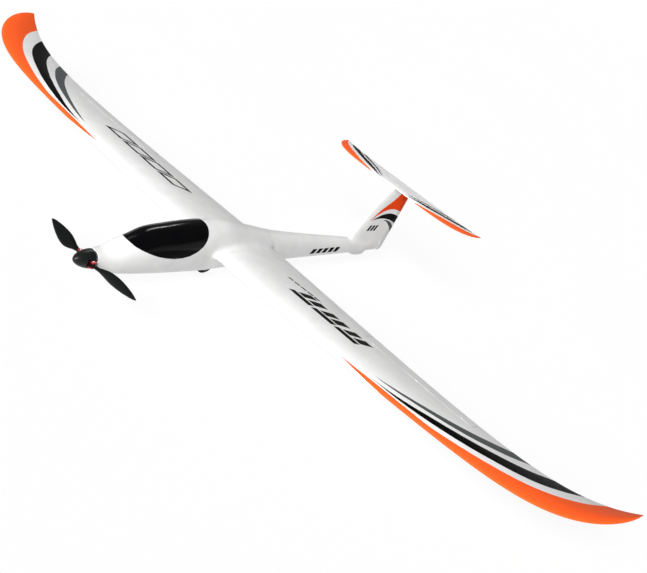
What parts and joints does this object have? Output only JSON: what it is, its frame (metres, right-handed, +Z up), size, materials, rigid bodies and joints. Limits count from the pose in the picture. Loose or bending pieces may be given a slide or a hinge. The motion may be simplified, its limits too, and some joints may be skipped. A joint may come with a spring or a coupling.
{
  "type": "radio control glider",
  "caption": "Electric radio control glider with T-tail, upswept wing tips, a folding nose propeller, lift-up canopy, hinged control surfaces with servo linkages and a half-sunk belly wheel.",
  "frame": {"origin": "under the middle of the overall length and span, at the lowest point of the belly wheel", "axes": "+X to port along the span, +Y aft from nose to tail, +Z up; the propeller's thrust line is level"},
  "size_m": [1.8, 0.99, 0.2145],
  "materials": {
    "foam": "satin white moulded foam with sprayed trim",
    "canopy_black": "gloss black moulding",
    "black_plastic": "matt black nylon",
    "prop_black": "satin black moulding",
    "carbon": "pultruded carbon tube",
    "nylon": "natural nylon",
    "aluminium": "machined",
    "anodised_red": "red anodised",
    "bell": "black anodised",
    "steel": "plain steel",
    "magnet": "nickel plated",
    "servo_case": "translucent blue moulding",
    "esc_wrap": "heat shrink sleeve",
    "battery_wrap": "heat shrink sleeve",
    "strap": "woven hook and loop",
    "plywood": "plywood",
    "wire": "silicone insulation",
    "hub": "white nylon",
    "tyre": "black foam rubber"
  },
  "bodies": {
    "airframe": {"fuselage_port": "foam", "fuselage_starboard": "foam", "wing_port": "foam", "wing_starboard": "foam", "wing_joiner": "carbon", "root_ribs": "nylon", "wing_screws": "nylon", "boom_stiffener": "carbon", "motor_mount": "aluminium", "motor_stator": "aluminium", "esc": "esc_wrap", "battery": "battery_wrap", "battery_strap": "strap", "equipment_tray": "plywood", "receiver": "black_plastic", "power_wiring": "wire", "fuselage_magnet": "magnet", "aileron_hinges_port": "nylon", "aileron_hinges_starboard": "nylon", "aileron_servo_port": "servo_case", "aileron_servo_starboard": "servo_case", "stabilizer": "foam", "stabilizer_screws": "nylon", "elevator_hinges": "nylon", "elevator_servo": "servo_case", "rudder_hinges": "nylon", "rudder_servo": "servo_case", "tail_skid": "foam", "wheel_box": "black_plastic", "wheel_axle": "steel"},
    "rotor": {"motor_bell": "bell", "motor_shaft": "steel", "prop_yoke": "anodised_red", "prop_nut": "steel", "blade_pins": "steel", "spinner": "prop_black", "spinner_backplate": "aluminium"},
    "blade_port": {"blade_port": "prop_black"},
    "blade_starboard": {"blade_starboard": "prop_black"},
    "canopy": {"canopy": "canopy_black", "canopy_latch": "black_plastic", "canopy_magnet": "magnet"},
    "aileron_port": {"aileron_port": "foam", "aileron_horn_port": "black_plastic"},
    "aileron_starboard": {"aileron_starboard": "foam", "aileron_horn_starboard": "black_plastic"},
    "aileron_arm_port": {"aileron_arm_port": "nylon"},
    "aileron_arm_starboard": {"aileron_arm_starboard": "nylon"},
    "aileron_rod_port": {"aileron_rod_port": "steel"},
    "aileron_rod_starboard": {"aileron_rod_starboard": "steel"},
    "elevator": {"elevator": "foam", "elevator_horn": "black_plastic"},
    "elevator_arm": {"elevator_arm": "nylon"},
    "elevator_rod": {"elevator_rod": "steel"},
    "rudder": {"rudder": "foam", "rudder_horn": "black_plastic"},
    "rudder_arm": {"rudder_arm": "nylon"},
    "rudder_rod": {"rudder_rod": "steel"},
    "wheel": {"wheel_hub": "hub", "wheel_tyre": "tyre"}
  },
  "joints": [
    {"name": "propeller_spin", "type": "hinge", "parent": "airframe", "child": "rotor", "pos_m": [0, -0.467, 0.05], "axis": [0, -1, 0], "continuous": true},
    {"name": "blade_fold_port", "type": "hinge", "parent": "rotor", "child": "blade_port", "pos_m": [0.0185, -0.467, 0.05], "axis": [0, 0, 1], "range_deg": [-8, 57]},
    {"name": "blade_fold_starboard", "type": "hinge", "parent": "rotor", "child": "blade_starboard", "pos_m": [-0.0185, -0.467, 0.05], "axis": [0, 0, -1], "range_deg": [-8, 57]},
    {"name": "canopy_lift", "type": "hinge", "parent": "airframe", "child": "canopy", "pos_m": [0, -0.395, 0.085], "axis": [1, 0, 0], "range_deg": [0, 55]},
    {"name": "aileron_swing_port", "type": "hinge", "parent": "airframe", "child": "aileron_port", "pos_m": [0.465, -0.06057, 0.07912], "axis": [0.9994, -0.0259, 0.0234], "range_deg": [-20, 20]},
    {"name": "aileron_arm_swing_port", "type": "hinge", "parent": "airframe", "child": "aileron_arm_port", "pos_m": [0.46357, -0.11555, 0.07912], "axis": [0.9994, -0.0259, 0.0234], "range_deg": [-20, 20]},
    {"name": "aileron_rod_pivot_port", "type": "hinge", "parent": "aileron_arm_port", "child": "aileron_rod_port", "pos_m": [0.46388, -0.11556, 0.06612], "axis": [0.9994, -0.0259, 0.0234], "range_deg": [-20, 20]},
    {"name": "aileron_swing_starboard", "type": "hinge", "parent": "airframe", "child": "aileron_starboard", "pos_m": [-0.465, -0.06057, 0.07912], "axis": [0.9994, 0.0259, -0.0234], "range_deg": [-20, 20]},
    {"name": "aileron_arm_swing_starboard", "type": "hinge", "parent": "airframe", "child": "aileron_arm_starboard", "pos_m": [-0.46357, -0.11555, 0.07912], "axis": [0.9994, 0.0259, -0.0234], "range_deg": [-20, 20]},
    {"name": "aileron_rod_pivot_starboard", "type": "hinge", "parent": "aileron_arm_starboard", "child": "aileron_rod_starboard", "pos_m": [-0.46388, -0.11556, 0.06612], "axis": [0.9994, 0.0259, -0.0234], "range_deg": [-20, 20]},
    {"name": "elevator_swing", "type": "hinge", "parent": "airframe", "child": "elevator", "pos_m": [0, 0.446, 0.211], "axis": [1, 0, 0], "range_deg": [-18, 18]},
    {"name": "elevator_arm_swing", "type": "hinge", "parent": "airframe", "child": "elevator_arm", "pos_m": [-0.013, 0.39, 0.045], "axis": [1, 0, 0], "range_deg": [-18, 18]},
    {"name": "elevator_rod_pivot", "type": "hinge", "parent": "elevator_arm", "child": "elevator_rod", "pos_m": [-0.013, 0.40137, 0.04116], "axis": [1, 0, 0], "range_deg": [-18, 18]},
    {"name": "rudder_swing", "type": "hinge", "parent": "airframe", "child": "rudder", "pos_m": [0, 0.469, 0.055], "axis": [0, 0, 1], "range_deg": [-25, 25]},
    {"name": "rudder_arm_swing", "type": "hinge", "parent": "airframe", "child": "rudder_arm", "pos_m": [0, 0.435, 0.055], "axis": [0, 0, 1], "range_deg": [-25, 25]},
    {"name": "rudder_rod_pivot", "type": "hinge", "parent": "rudder_arm", "child": "rudder_rod", "pos_m": [-0.012, 0.435, 0.055], "axis": [0, 0, 1], "range_deg": [-25, 25]},
    {"name": "wheel_roll", "type": "hinge", "parent": "airframe", "child": "wheel", "pos_m": [0, -0.15, 0.022], "axis": [1, 0, 0], "continuous": true}
  ],
  "couplings": [
    {"joint": "aileron_arm_swing_port", "follows": "aileron_swing_port", "ratio": 1},
    {"joint": "aileron_rod_pivot_port", "follows": "aileron_swing_port", "ratio": -1},
    {"joint": "aileron_arm_swing_starboard", "follows": "aileron_swing_starboard", "ratio": 1},
    {"joint": "aileron_rod_pivot_starboard", "follows": "aileron_swing_starboard", "ratio": -1},
    {"joint": "elevator_arm_swing", "follows": "elevator_swing", "ratio": 1},
    {"joint": "elevator_rod_pivot", "follows": "elevator_swing", "ratio": -1},
    {"joint": "rudder_arm_swing", "follows": "rudder_swing", "ratio": 1},
    {"joint": "rudder_rod_pivot", "follows": "rudder_swing", "ratio": -1}
  ]
}
